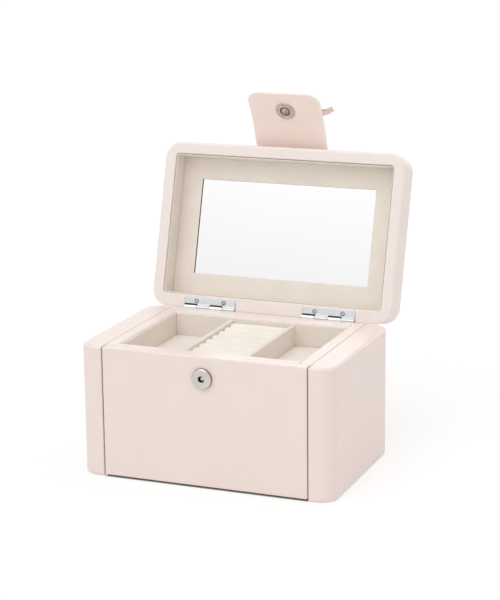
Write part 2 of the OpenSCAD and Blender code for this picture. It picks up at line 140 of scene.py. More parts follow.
def ramp(tree, value, low, high, to_low=0.0, to_high=1.0):
    return add(tree, "ShaderNodeMapRange", {"Value": value, "From Min": low, "From Max": high,
                                            "To Min": to_low, "To Max": to_high}).outputs[0]


def place_of(tree):
    """The shaded point in the object's own coordinates."""
    return add(tree, "ShaderNodeTexCoord").outputs["Object"]


def mottle_of(tree, place, scale, detail):
    return add(tree, "ShaderNodeTexNoise", {"Vector": place, "Scale": scale, "Detail": detail}).outputs[0]


def make_leather_grain():
    """Pores between small rounded cells, and the broad unevenness of a hide."""
    tree, given, out = effect("leather_grain", [("Cells per metre", 1250.0)], ["Height", "Crease", "Mottle"])
    place = place_of(tree)
    drift = add(tree, "ShaderNodeTexNoise", {"Vector": place, "Scale": 420.0, "Detail": 2.0}).outputs[1]
    moved = add(tree, "ShaderNodeVectorMath", {0: drift, 1: (0.0006,) * 3}, operation="MULTIPLY").outputs[0]
    place_2 = add(tree, "ShaderNodeVectorMath", {0: place, 1: moved}, operation="ADD").outputs[0]
    cells = add(tree, "ShaderNodeTexVoronoi", {"Vector": place_2, "Scale": given[0]},
                feature="DISTANCE_TO_EDGE").outputs[0]
    crease = ramp(tree, cells, 0.0, 0.16)
    fine_scale = math_of(tree, "MULTIPLY", given[0], 3.1)
    fine = mottle_of(tree, place, fine_scale, 3.0)
    height = math_of(tree, "ADD", math_of(tree, "MULTIPLY", crease, 0.65), math_of(tree, "MULTIPLY", fine, 0.35))
    broad = mottle_of(tree, place, 26.0, 4.0)
    for key, value in (("Height", height), ("Crease", crease), ("Mottle", ramp(tree, broad, 0.33, 0.67))):
        tree.links.new(value, out[key])
    return tree


def make_cloth_nap():
    """Short brushed fibres with a slight lay, and the soft shading where they lie differently."""
    tree, given, out = effect("cloth_nap", [("Fibres per metre", 1900.0), ("Lay", 0.35)], ["Height", "Shade"])
    place = place_of(tree)
    long_way = add(tree, "ShaderNodeMapping", {"Vector": place, "Scale": (1.0, 0.45, 0.75)}).outputs[0]
    hairs = add(tree, "ShaderNodeTexNoise", {"Vector": long_way, "Scale": given[0], "Detail": 4.0,
                                             "Roughness": 0.62}).outputs[0]
    tufts = mottle_of(tree, place, 330.0, 3.0)
    patches = mottle_of(tree, place, 38.0, 3.0)
    height = math_of(tree, "ADD", math_of(tree, "MULTIPLY", hairs, 0.7), math_of(tree, "MULTIPLY", tufts, 0.3))
    spread = math_of(tree, "MULTIPLY", ramp(tree, patches, 0.35, 0.65, -0.5, 0.5), given[1])
    shade = math_of(tree, "ADD", ramp(tree, hairs, 0.25, 0.75), spread)
    tree.links.new(height, out["Height"])
    tree.links.new(shade, out["Shade"])
    return tree


def make_plated_metal():
    """Fine polishing lines along X and the faint cloudiness of handled plating."""
    tree, given, out = effect("plated_metal", [("Lines per metre", 5200.0)], ["Lines", "Cloud"])
    place = place_of(tree)
    drawn = add(tree, "ShaderNodeMapping", {"Vector": place, "Scale": (0.03, 1.0, 1.0)}).outputs[0]
    lines = mottle_of(tree, drawn, given[0], 2.0)
    cloud = mottle_of(tree, place, 240.0, 5.0)
    tree.links.new(lines, out["Lines"])
    tree.links.new(ramp(tree, cloud, 0.3, 0.7), out["Cloud"])
    return tree


def make_rubbed_edges():
    """Where a hand rubs: the rounded edges and corners, broken up a little."""
    tree, given, out = effect("rubbed_edges", [("Reach", 0.56)], ["Rubbed"])
    point = add(tree, "ShaderNodeNewGeometry").outputs["Pointiness"]
    place = place_of(tree)
    broken = mottle_of(tree, place, 170.0, 4.0)
    edge = ramp(tree, point, 0.505, given[0])
    tree.links.new(math_of(tree, "MULTIPLY", edge, ramp(tree, broken, 0.3, 0.6, 0.4, 1.0)), out["Rubbed"])
    return tree


LEATHER_GRAIN = make_leather_grain()
CLOTH_NAP = make_cloth_nap()
PLATED_METAL = make_plated_metal()
RUBBED_EDGES = make_rubbed_edges()


def new_finish(name):
    made = bpy.data.materials.new(name)
    made.use_nodes = True
    tree = made.node_tree
    return made, tree, tree.nodes["Principled BSDF"]


def use(tree, group, **values):
    made = add(tree, "ShaderNodeGroup", node_tree=group)
    for key, value in values.items():
        made.inputs[key.replace("_", " ")].default_value = value
    return made.outputs


def blend_of(tree, factor, a, b):
    return add(tree, "ShaderNodeMix", {0: factor, 6: a, 7: b}, data_type="RGBA").outputs[2]


def bump(tree, shader, height, distance, strength):
    made = add(tree, "ShaderNodeBump", {"Height": height, "Distance": distance, "Strength": strength})
    tree.links.new(made.outputs[0], shader.inputs["Normal"])


def dress(tree, shader, colour, rough):
    tree.links.new(colour, shader.inputs["Base Color"])
    tree.links.new(rough, shader.inputs["Roughness"])


def leather(name, main, warm, edge, cells=1250.0, depth=0.00012, rough=0.42):
    """Pale coated leather: mottled colour, painted shade in the pores, edges rubbed lighter. cells counts them
    per metre, depth is the grain's in metres."""
    made, tree, shader = new_finish(name)
    grain = use(tree, LEATHER_GRAIN, Cells_per_metre=cells)
    rubbed = use(tree, RUBBED_EDGES)["Rubbed"]
    colour = blend_of(tree, grain["Mottle"], main, warm)
    pore_painted_shade = tuple(v * 0.9 for v in main[:3]) + (1,)
    # Painted shade: the colour is darkened in the pores.
    colour = blend_of(tree, ramp(tree, grain["Crease"], 0.0, 1.0, 0.45, 0.0), colour, pore_painted_shade)
    colour = blend_of(tree, math_of(tree, "MULTIPLY", rubbed, 0.45), colour, edge)
    dress(tree, shader, colour, ramp(tree, grain["Mottle"], 0.0, 1.0, rough, rough + 0.07))
    shader.inputs["Coat Weight"].default_value = 0.22
    shader.inputs["Coat Roughness"].default_value = 0.28
    bump(tree, shader, grain["Height"], depth, 0.22)
    return made


def napped(name, dark, light, fibres, depth, sheen, lay=0.35):
    """Short-napped fabric, soft and matt."""
    made, tree, shader = new_finish(name)
    nap = use(tree, CLOTH_NAP, Fibres_per_metre=fibres, Lay=lay)
    dress(tree, shader, blend_of(tree, nap["Shade"], dark, light), ramp(tree, nap["Shade"], 0.0, 1.0, 0.98, 0.86))
    shader.inputs["Sheen Weight"].default_value = sheen
    shader.inputs["Sheen Roughness"].default_value = 0.45
    shader.inputs["Specular IOR Level"].default_value = 0.25
    bump(tree, shader, nap["Height"], depth, 0.5)
    return made


def metal(name, dark, light, smooth, lines, depth):
    """Plated metal with drawn lines and a slightly uneven polish."""
    made, tree, shader = new_finish(name)
    plate = use(tree, PLATED_METAL, Lines_per_metre=lines)
    rubbed = use(tree, RUBBED_EDGES)["Rubbed"]
    colour = blend_of(tree, plate["Cloud"], dark, light)
    bright = tuple(min(1.0, v * 1.15) for v in light[:3]) + (1,)
    colour = blend_of(tree, math_of(tree, "MULTIPLY", rubbed, 0.5), colour, bright)
    rough = math_of(tree, "ADD", ramp(tree, plate["Cloud"], 0.0, 1.0, smooth, smooth + 0.07),
                    ramp(tree, plate["Lines"], 0.3, 0.7, 0.0, 0.05))
    dress(tree, shader, colour, rough)
    shader.inputs["Metallic"].default_value = 1.0
    bump(tree, shader, plate["Lines"], depth, 0.25)
    return made


def fibreboard(name):
    """Plain pressed board, with fibres and darker flecks."""
    made, tree, shader = new_finish(name)
    place = place_of(tree)
    fibres = mottle_of(tree, place, 700.0, 6.0)
    flecks = add(tree, "ShaderNodeTexVoronoi", {"Vector": place, "Scale": 260.0}).outputs[0]
    colour = blend_of(tree, ramp(tree, fibres, 0.3, 0.7), tone(150, 122, 92), tone(186, 158, 124))
    colour = blend_of(tree, ramp(tree, flecks, 0.0, 0.18, 0.5, 0.0), colour, tone(112, 88, 64))
    dress(tree, shader, colour, ramp(tree, fibres, 0.2, 0.8, 0.9, 0.75))
    bump(tree, shader, fibres, 0.0002, 0.4)
    return made


def silvered_glass(name):
    """Mirror glass: a clear reflection with the faintest waviness and haze."""
    made, tree, shader = new_finish(name)
    place = place_of(tree)
    haze = mottle_of(tree, place, 14.0, 4.0)
    colour = blend_of(tree, ramp(tree, haze, 0.3, 0.7), tone(251, 251, 251), tone(252, 252, 252))
    dress(tree, shader, colour, ramp(tree, haze, 0.3, 0.7, 0.015, 0.03))
    shader.inputs["Metallic"].default_value = 1.0
    bump(tree, shader, haze, 0.00002, 0.05)
    return made


def woven_ribbon(name):
    """Ribbon with fine crosswise ribs, painted shade in the hollows between them, and a satin shine."""
    made, tree, shader = new_finish(name)
    place = place_of(tree)
    ribs = add(tree, "ShaderNodeTexWave", {"Vector": place, "Scale": 330.0, "Distortion": 0.6, "Detail": 1.0},
               bands_direction="X").outputs[1]
    soft = mottle_of(tree, place, 90.0, 3.0)
    colour = blend_of(tree, ramp(tree, soft, 0.3, 0.7), tone(222, 196, 186), tone(238, 217, 208))
    # Painted shade: darker colour in the hollows between the ribs.
    colour = blend_of(tree, ramp(tree, ribs, 0.0, 1.0, 0.25, 0.0), colour, tone(204, 172, 160))
    dress(tree, shader, colour, ramp(tree, soft, 0.3, 0.7, 0.4, 0.52))
    shader.inputs["Sheen Weight"].default_value = 0.15
    bump(tree, shader, ribs, 0.00012, 0.35)
    return made


BLUSH = leather("blush_leather", tone(235, 220, 213), tone(234, 218, 211), tone(241, 231, 226))
# The lid's leather: the blush leather painted lighter and less pink, standing in for the light and sheen on the
# lid.
LID_LEATHER_PAINTED_LIGHTER = leather("lid_leather_painted_lighter", tone(236, 225, 219), tone(235, 223, 217), tone(242, 234, 230))
# The flap's leather: the blush leather painted lighter, standing in for light the flap misses in its shade.
FLAP_LEATHER_PAINTED_LIGHTER = leather("flap_leather", tone(245, 230, 222), tone(247, 227, 217), tone(250, 240, 235),
               1050.0, 0.00014, 0.44)
# Darker leather on the drawer front's sides inside the seams: painted shade.
SEAM_PAINTED_SHADE = leather("painted_seam_shade", tone(178, 156, 146), tone(170, 148, 138), tone(186, 166, 156),
                     rough=0.7)
EDGE_PAINT = leather("painted_edge", tone(247, 242, 239), tone(244, 237, 233), tone(251, 248, 246),
                     2200.0, 0.00006, 0.36)
LINING = napped("cream_lining", tone(226, 217, 207), tone(238, 230, 221), 1900.0, 0.00025, 0.12)
PAD = napped("floor_pad_lining", tone(228, 220, 211), tone(240, 233, 226), 1700.0, 0.0003, 0.15)
VELVET = napped("ring_velvet", tone(234, 227, 216), tone(245, 240, 231), 1500.0, 0.00035, 0.3, 0.5)
# Dark fabric on the mirror card's cut edge: painted shade along the window's edge.
CUT_EDGE_PAINTED_SHADE = napped("cut_edge_painted_shade", tone(84, 76, 70), tone(112, 103, 95), 1400.0, 0.0001, 0.0)
FELT = napped("base_felt_black", tone(20, 18, 18), tone(34, 31, 30), 1400.0, 0.0004, 0.1)
NICKEL = metal("bright_nickel", tone(209, 211, 212), tone(217, 219, 220), 0.2, 5200.0, 0.00003)
# The lid leaf's knuckles: a darker, rougher copy of the nickel, the darkness painted shade.
LID_KNUCKLE_NICKEL_PAINTED_SHADE = metal("nickel_painted_darker", tone(196, 198, 199), tone(206, 208, 209), 0.5, 5200.0, 0.00004)
# The body leaf and its knuckles: a lighter copy of the nickel, painted highlight.
BODY_LEAF_NICKEL_PAINTED_LIGHTER = metal("nickel_painted_lighter", tone(222, 223, 224), tone(230, 231, 231), 0.28, 5200.0, 0.00003)
# Dark finish standing in for shade: painted shade in the hinges' knuckle gaps, round the screw heads, in the
# stud's groove and tip.
GAP_SHADE_DARK = metal("painted_gap_shade", tone(46, 44, 44), tone(66, 63, 62), 0.5, 3800.0, 0.00004)
SCREW = metal("screw_steel", tone(126, 127, 130), tone(160, 161, 163), 0.3, 5200.0, 0.00003)
# Satin nickel tinted warm: the tint is a painted reflection of the pink leather round it.
SATIN_NICKEL_PAINTED_PINK = metal("satin_nickel_painted_pink", tone(203, 196, 189), tone(212, 206, 199), 0.27, 4200.0, 0.00004)
# The socket's side wall, darker: painted reflection of the dark, pink surroundings.
SOCKET_SIDE_PAINTED_REFLECTION = metal("socket_side_painted_reflection", tone(140, 128, 119), tone(168, 157, 148), 0.38, 4200.0, 0.00004)
STUD = metal("worn_nickel", tone(190, 178, 168), tone(214, 204, 195), 0.24, 4200.0, 0.00004)
MAGNET = metal("dark_magnet", tone(48, 47, 48), tone(74, 72, 72), 0.5, 3000.0, 0.00006)
BOARD = fibreboard("plain_fibreboard")
MIRROR = silvered_glass("silvered_glass")
RIBBON = woven_ribbon("blush_ribbon")


# ---- making pieces
def skin(bm, rings, ends=(True, True), closed=False, which=None):
    """Faces through rings of equal length. which(ring, place) gives a face's finish."""
    rows = [[bm.verts.new(p) for p in ring] for ring in rings]
    pairs = list(zip(rows, rows[1:])) + ([(rows[-1], rows[0])] if closed else [])
    count = len(rows[0])
    for k, (a, b) in enumerate(pairs):
        for i in range(count):
            j = (i + 1) % count
            face = bm.faces.new((a[i], a[j], b[j], b[i]))
            face.material_index = which(k, i) if which else 0
    if not closed:
        for row, wanted in ((rows[0][::-1], ends[0]), (rows[-1], ends[1])):
            if wanted:
                bm.faces.new(row)


def piece(name, bm, finish, body, stands_for=(), place=None, even=True):
    """The mesh as an object that rides on a body and stands for its CAD nodes."""
    if place is not None:
        bmesh.ops.transform(bm, matrix=place, verts=bm.verts)
    bmesh.ops.recalc_face_normals(bm, faces=bm.faces)
    mesh = bpy.data.meshes.new(name)
    bm.to_mesh(mesh)
    bm.free()
    for f in (finish if isinstance(finish, tuple) else (finish,)):
        mesh.materials.append(f)
    mesh.polygons.foreach_set("use_smooth", [True] * len(mesh.polygons))
    made = bpy.data.objects.new(name, mesh)
    bpy.context.scene.collection.objects.link(made)
    if even:
        made.modifiers.new("even_shading", "WEIGHTED_NORMAL").keep_sharp = False
    if body:
        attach(made, body)
    if stands_for:
        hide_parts(*stands_for)
    return made


def outline(x0, y0, x1, y1, radii, steps, back_stops=()):
    """Rounded rectangle, counter-clockwise from the front right corner. radii: front left, front right,
    back right, back left. back_stops are extra places along the back side, from right to left."""
    points = []
    corners = ((x1, y0, 1, -1, radii[1], -90), (x1, y1, 1, 1, radii[2], 0),
               (x0, y1, -1, 1, radii[3], 90), (x0, y0, -1, -1, radii[0], 180))
    for index, (x, y, sx, sy, r, start) in enumerate(corners):
        for k in range(steps + 1):
            a = math.radians(start + 90 * k / steps)
            points.append((x - sx * r + r * math.cos(a), y - sy * r + r * math.sin(a)))
        if index == 1:
            points += [(s, y1) for s in back_stops]
    return points


def quarter(steps):
    """The angles of a quarter turn in equal steps, ends included."""
    return [math.pi / 2 * k / steps for k in range(steps + 1)]


AXES = {"z": lambda u, v, w: (u, v, w), "y": lambda u, v, w: (u, w, v), "x": lambda u, v, w: (w, u, v)}


def covered_board(bm, low, high, axis="z", corners=(0.6,) * 4, edges=(0.8, 0.8), pull=(1, 1, 1, 1), steps=6,
                  rounds=5):
    """A board wrapped all round. corners and edges in mm; pull scales the rounding towards the left, right,
    front and back sides."""
    u0, v0, w0 = {"z": low, "y": (low[0], low[2], low[1]), "x": (low[1], low[2], low[0])}[axis]
    u1, v1, w1 = {"z": high, "y": (high[0], high[2], high[1]), "x": (high[1], high[2], high[0])}[axis]
    rings = []

    def ring(d, w):
        shrunk = [max(r * MM - d, 0.02 * MM) for r in corners]
        flat = outline(u0 + d * pull[0], v0 + d * pull[2], u1 - d * pull[1], v1 - d * pull[3], shrunk, steps)
        rings.append([AXES[axis](u, v, w) for u, v in flat])

    bottom, top = edges[0] * MM, edges[1] * MM
    for a in quarter(rounds):
        ring(bottom * (1 - math.sin(a)), w0 + bottom * (1 - math.cos(a)))
    for a in reversed(quarter(rounds)):
        ring(top * (1 - math.sin(a)), w1 - top * (1 - math.cos(a)))
    skin(bm, rings)


def wrapped(node, ending, finish, body, slot, **shape):
    """A covered board in the place of a CAD node."""
    low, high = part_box(node)
    bm = bmesh.new()
    covered_board(bm, low, high, **shape)
    piece(node + ending, bm, finish, body, [node])


def turned(bm, profile, centre, along, across, count=72, which=None):
    """A turned piece: profile of (radius, distance along the axis) from its centre."""
    along, across = Vector(along).normalized(), Vector(across).normalized()
    third = along.cross(across)
    rings = []
    for r, h in profile:
        rings.append([Vector(centre) + along * h + (across * math.cos(a) + third * math.sin(a)) * r
                      for a in (2 * math.pi * i / count for i in range(count))])
    skin(bm, rings, which=which)


def band(bm, stations, flat=10, arc=4, edge_index=1):
    """A leather or ribbon strip with rounded edges through stations of
    (centre, across, normal, half width, half thickness, ripple)."""
    rings = []
    for centre, across, normal, half_w, half_t, ripple in stations:
        run = max(half_w - half_t, 0.0)
        ring = []
        for side in (1, -1):
            for i in range(flat + 1):
                t = -1 + 2 * i / flat
                t *= side
                lift = ripple * math.cos(3 * math.pi * t)
                ring.append(centre + across * run * t + normal * (half_t * side + lift))
            for i in range(1, arc):
                a = math.pi * i / arc
                ring.append(centre + across * side * (run + half_t * math.sin(a))
                            + normal * (side * half_t * math.cos(a) + ripple * math.cos(3 * math.pi)))
        rings.append(ring)
    count = len(rings[0])
    half = count // 2

    def which(k, i):
        return edge_index if i % half >= flat else 0

    skin(bm, rings, which=which)


# ---- body
def body_pieces():
    """Cheeks, boards and rails in leather, the tray's cards and dividers in lining, and the rolls' base."""
    outer, seam = CORNER_R / MM, 1.2
    for name, corners, pull in (("left_cheek", (outer, seam, seam, outer), (1, 0.45, 1, 1)),
                                ("right_cheek", (seam, outer, outer, seam), (0.45, 1, 1, 1))):
        wrapped(name, "_cover", BLUSH, "body", "board_in_blush_leather", corners=corners, edges=(2.5, 2.5),
                pull=pull, steps=12, rounds=7)
    for name, pull in (("left_side_board", (1, 1, 0.15, 0.15)), ("right_side_board", (1, 1, 0.15, 0.15)),
                       ("front_rail", (0.15, 0.15, 1, 1)), ("hinge_rail", (0.15, 0.15, 1, 0.15))):
        wrapped(name, "_cover", BLUSH, "body", "board_in_blush_leather", corners=(0.2,) * 4, edges=(0.3, 1.1),
                pull=pull)
    for name, axis, edges in (("tray_lining_left", "x", (0.2, 0.7)), ("tray_lining_right", "x", (0.7, 0.2)),
                              ("tray_lining_front", "y", (0.2, 0.7)), ("tray_lining_rear", "y", (0.7, 0.2))):
        wrapped(name, "_card", LINING, "body", "lining_cream", axis=axis, corners=(0.2, 0.2, 0.7, 0.7),
                edges=edges, pull=(0.6, 0.6, 0.1, 1))
    for name in ("left_divider", "right_divider"):
        wrapped(name, "_card", LINING, "body", "board_in_cream_lining", axis="y", corners=(0.3, 0.3, 1.3, 1.3),
                edges=(0.15, 0.15), steps=8)
    wrapped("ring_base", "_foam", VELVET, "body", "ring_velvet", corners=(0.4,) * 4, edges=(0.3, 1.0))
    back_panel_cover()


def zone_stops():
    """Places along X just inside and just outside each row of knuckles, from right to left."""
    step = 0.06 * MM
    ends = [h + side * (HINGE_W / 2 + 0.4 * MM) for h in HINGE_XS for side in (-1, 1)]
    return sorted([e - step for e in ends] + [e + step for e in ends], reverse=True)


def clear_of_knuckles(x, y, z):
    """The point, pushed out of the room in which the knuckles turn."""
    if any(abs(x - h) < HINGE_W / 2 + 0.4 * MM for h in HINGE_XS):
        away = Vector((0, y - HINGE_Y, z - HINGE_Z))
        if away.length < KNUCKLE_ROOM:
            if away.length < 1e-6:
                away = Vector((0, -1, -1))
            away = away.normalized() * KNUCKLE_ROOM
            return (x, HINGE_Y + away.y, HINGE_Z + away.z)
    return (x, y, z)


def back_panel_cover():
    """Back panel with a rounded top rear edge, cut away where the knuckles turn."""
    low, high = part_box("back_panel")
    edge = 1.2 * MM
    flat = [(low.y, low.z), (high.y - 0.5 * MM, low.z), (high.y, low.z + 0.5 * MM)]
    flat += [(high.y, low.z + f * (high.z - low.z)) for f in (0.3, 0.6, 0.85, 0.95)]
    for a in quarter(14):
        flat.append((high.y - edge + edge * math.cos(a), high.z - edge + edge * math.sin(a)))
    flat += [(high.y - d * MM, high.z) for d in (2.2, 3.0)]
    flat += [(low.y + 0.15 * MM, high.z), (low.y, high.z - 0.15 * MM)]
    stops = [-high.x, -high.x + 0.3 * MM] + sorted(zone_stops()) + [0.0] + [high.x - 0.3 * MM, high.x]
    rings = []
    for x in sorted(stops):
        shrink = 0.3 * MM if abs(x) > high.x - 0.1 * MM else 0.0
        centre = ((low.y + high.y) / 2, (low.z + high.z) / 2)
        ring = []
        for y, z in flat:
            y += -shrink if y > centre[0] else shrink
            z += -shrink if z > centre[1] else shrink
            ring.append(clear_of_knuckles(x, y, z))
        rings.append(ring)
    bm = bmesh.new()
    skin(bm, rings)
    piece("back_panel_cover", bm, BLUSH, "body", ["back_panel"])


# ---- padded pieces
def spaced(low, high, near, count):
    """Places from low to high, close together by the rims."""
    rims = [d for d in near if d < (high - low) / 2]
    inner = [low + rims[-1] + (high - low - 2 * rims[-1]) * k / count for k in range(1, count)]
    return [low + d for d in rims] + inner + [high - d for d in reversed(rims)]


def soft_pad(name, node, body, crown, seed):
    """A thin padded card: rolled over at its rim, gently crowned, with the fabric's small unevenness."""
    low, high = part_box(node)
    rims = [v * MM for v in (0.0, 0.12, 0.35, 0.7, 1.2, 2.0, 3.5, 6.0)]
    xs, ys = spaced(low.x, high.x, rims, 9), spaced(low.y, high.y, rims, 16)
    base = high.z - low.z
    bm = bmesh.new()
    rows = []
    for y in ys:
        row = []
        for x in xs:
            d = min(x - low.x, high.x - x, y - low.y, high.y - y)
            roll = min(d / (1.2 * MM), 1.0)
            side = base * (0.25 + 0.75 * math.sqrt(max(1 - (1 - roll) ** 2, 0.0)))
            rise = crown * (1 - (1 - min(d / (15 * MM), 1.0)) ** 2)
            wave = noise.noise(Vector((x * 55 + seed, y * 55, 0.5))) * 0.14 * MM * roll
            row.append(bm.verts.new((x, y, low.z + side + rise + wave)))
        rows.append(row)
    for a, b in zip(rows, rows[1:]):
        for i in range(len(a) - 1):
            bm.faces.new((a[i], a[i + 1], b[i + 1], b[i]))
    rim = rows[0] + [r[-1] for r in rows[1:]] + rows[-1][-2::-1] + [r[0] for r in rows[-2:0:-1]]
    foot = [bm.verts.new((v.co.x, v.co.y, low.z)) for v in rim]
    for i in range(len(rim)):
        j = (i + 1) % len(rim)
        bm.faces.new((rim[j], rim[i], foot[i], foot[j]))
    bm.faces.new(foot)
    piece(name, bm, PAD, body, [node], even=False)


def ring_rolls():
    """Eight padded rolls pressed side by side, each gathered over its ends."""
    low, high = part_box("ring_rolls")
    count = 8
    pitch = (high.y - low.y + 0.3 * MM) / count
    centre_z = (low.z + high.z) / 2
    half = (high.z - low.z) / 2
    length = high.x - low.x
    along, around = 46, 40
    shoulder, power = 2.4 * MM, 2.35
    bm = bmesh.new()
    for k in range(count):
        y = low.y - 0.15 * MM + (k + 0.5) * pitch
        rings = []
        for i in range(along + 1):
            t = i / along
            s = 0.5 - 0.5 * math.cos(math.pi * t)
            x = low.x + length * s
            end = min(s, 1 - s) * length
            tuck = 1.0 if end >= shoulder else math.sqrt(max(1 - (1 - end / shoulder) ** 2, 0.0)) * 0.36 + 0.64
            plump = 1 - 0.02 * (2 * s - 1) ** 2
            ring = []
            for j in range(around):
                a = 2 * math.pi * j / around
                c, d = math.cos(a), math.sin(a)
                reach = (abs(c) ** power + abs(d) ** power) ** (-1 / power)
                wave = noise.noise(Vector((x * 95 + 7 * k, c * 1.7, d * 1.7 + k))) * 0.09 * MM
                pucker = 0.1 * MM * math.cos(11 * a + k) * max(0.0, 1 - end / (4 * MM))
                r = half * reach * tuck * plump + wave + pucker
                ry = min(r * abs(c), pitch / 2 - 0.03 * MM) * (1 if c > 0 else -1)
                rz = max(min(r * abs(d), half + 0.25 * MM), 0.0) * (1 if d > 0 else -1)
                if d < 0:
                    rz = max(rz, low.z - centre_z)
                ring.append((x, y + ry, centre_z + rz))
            rings.append(ring)
        skin(bm, rings)
    piece("ring_roll_cushion", bm, VELVET, "body", ["ring_rolls"], even=False)


# ---- drawer
def drawer_pieces():
    """The front, whose sides in the seams are painted darker as the seams' shade, and the lined box."""
    low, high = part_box("drawer_front")
    bm = bmesh.new()
    covered_board(bm, low, high, axis="y", corners=(1.4,) * 4, edges=(1.4, 0.8), steps=6, rounds=6)
    # The sides inside the seams take the second finish, painted shade.
    for face in bm.faces:
        face.normal_update()
        middle = face.calc_center_median()
        if abs(face.normal.x) > 0.9 and middle.y > low.y + 1.6 * MM:
            face.material_index = 1
    piece("drawer_front_cover", bm, (BLUSH, SEAM_PAINTED_SHADE), "drawer", ["drawer_front"])
    for name, axis in (("drawer_left_side", "x"), ("drawer_right_side", "x"), ("drawer_inner_front", "y"),
                       ("drawer_back", "y")):
        wrapped(name, "_lined", LINING, "drawer", "board_in_cream_lining", axis=axis,
                corners=(0.3, 0.3, 1.2, 1.2), edges=(0.9, 0.9), pull=(0.15, 0.15, 0.3, 1))
    soft_pad("drawer_floor_pad", "drawer_pad", "drawer", 0.5 * MM, 31.0)


# ---- lid
def lid_cover():
    """One skin round the lid, as the leather is wrapped: recess wall, rim, sides and top. The rim is a
    little fuller at the rear, where it meets the body's edge when the lid is open."""
    stops = zone_stops()
    recess_r = 2.6 * MM
    rings = []

    def ring(x, y, z, r, rear=0.0):
        flat = outline(-x, -y, x, y, (r,) * 4, 14, stops)
        flat = [(u, v * (1 + rear / y) if v > 0 else v) for u, v in flat]
        rings.append([clear_of_knuckles(u, v, z) for u, v in flat])

    inner, outer, top = 1.1 * MM, 2.4 * MM, 3.2 * MM
    ring(RECESS_X, RECESS_Y, FRAME_Z1, recess_r)
    ring(RECESS_X, RECESS_Y, LID_Z0 + 6 * MM, recess_r)
    for a in quarter(5):
        d = inner * (1 - math.cos(a))
        ring(RECESS_X + d, RECESS_Y + d, LID_Z0 + inner * (1 - math.sin(a)), recess_r + d)
    for a in quarter(7):
        d = outer * (1 - math.sin(a))
        ring(HALF_W - d, HALF_D - d, LID_Z0 + outer * (1 - math.cos(a)), CORNER_R - d, 1.2 * MM + 0.8 * d)
    ring(HALF_W, HALF_D, LID_Z0 + 3.4 * MM, CORNER_R, 1.0 * MM)
    ring(HALF_W, HALF_D, LID_Z0 + 6.5 * MM, CORNER_R)
    for a in reversed(quarter(8)):
        d = top * (1 - math.sin(a))
        ring(HALF_W - d, HALF_D - d, LID_Z1 - top * (1 - math.cos(a)), CORNER_R - d)
    bm = bmesh.new()
    skin(bm, rings)
    piece("lid_cover", bm, LID_LEATHER_PAINTED_LIGHTER, "lid", ["lid_frame", "lid_top"], OPEN_LID)


def hoop(bm, x0, y0, x1, y1, z0, z1, edge, cut=(), rear_room=0.0):
    """A flat frame between the outer half sizes x1, y1 and the inner ones x0, y0, its inner front edge
    rounded. The faces after the rings in cut have the second finish; rear_room is added at the rear."""
    rings = []

    def ring(x, y, z, r, rear=0.0):
        rings.append([(u, v + rear if v > 0 else v, z) for u, v in outline(-x, -y, x, y, (r,) * 4, 4)])

    outer_r, inner_r = 0.3 * MM, 0.4 * MM
    ring(x1, y1, z1, outer_r, rear_room)
    ring(x1, y1, z0, outer_r, rear_room)
    for a in quarter(5):
        d = edge * (1 - math.sin(a))
        ring(x0 + d, y0 + d, z0 + edge * (1 - math.cos(a)), inner_r)
    ring(x0, y0, z1, inner_r)
    skin(bm, rings, closed=True, which=lambda k, i: int(k in cut))


def lid_inside():
    """The recess's lining, the card round the mirror with its cut edge painted dark as shade, and the mirror."""
    wall, gap = 1.2 * MM, 0.3 * MM
    bm = bmesh.new()
    hoop(bm, RECESS_X - wall, RECESS_Y - wall, RECESS_X - gap, RECESS_Y - gap, LID_Z0 + 1.3 * MM, MAT_Z - gap,
         0.4 * MM, rear_room=gap)
    piece("lid_wall_lining", bm, LINING, "lid", ["lid_lining"], OPEN_LID)
    bm = bmesh.new()
    # cut=(7,) is the window's cut edge, which gets the painted shade finish.
    hoop(bm, WINDOW_X, WINDOW_Y, RECESS_X, RECESS_Y, MAT_Z, MIRROR_Z, 0.3 * MM, cut=(7,))
    piece("mirror_mat_card", bm, (LINING, CUT_EDGE_PAINTED_SHADE), "lid", ["mirror_mat"], OPEN_LID)
    bm = bmesh.new()
    far_x, far_y = WINDOW_X + MIRROR_LAP, WINDOW_Y + MIRROR_LAP
    covered_board(bm, (-far_x, -far_y, MIRROR_Z), (far_x, far_y, FRAME_Z1), corners=(0.8,) * 4,
                  edges=(0.35, 0.2), steps=4, rounds=3)
    piece("mirror_glass", bm, MIRROR, "lid", ["mirror"], OPEN_LID)


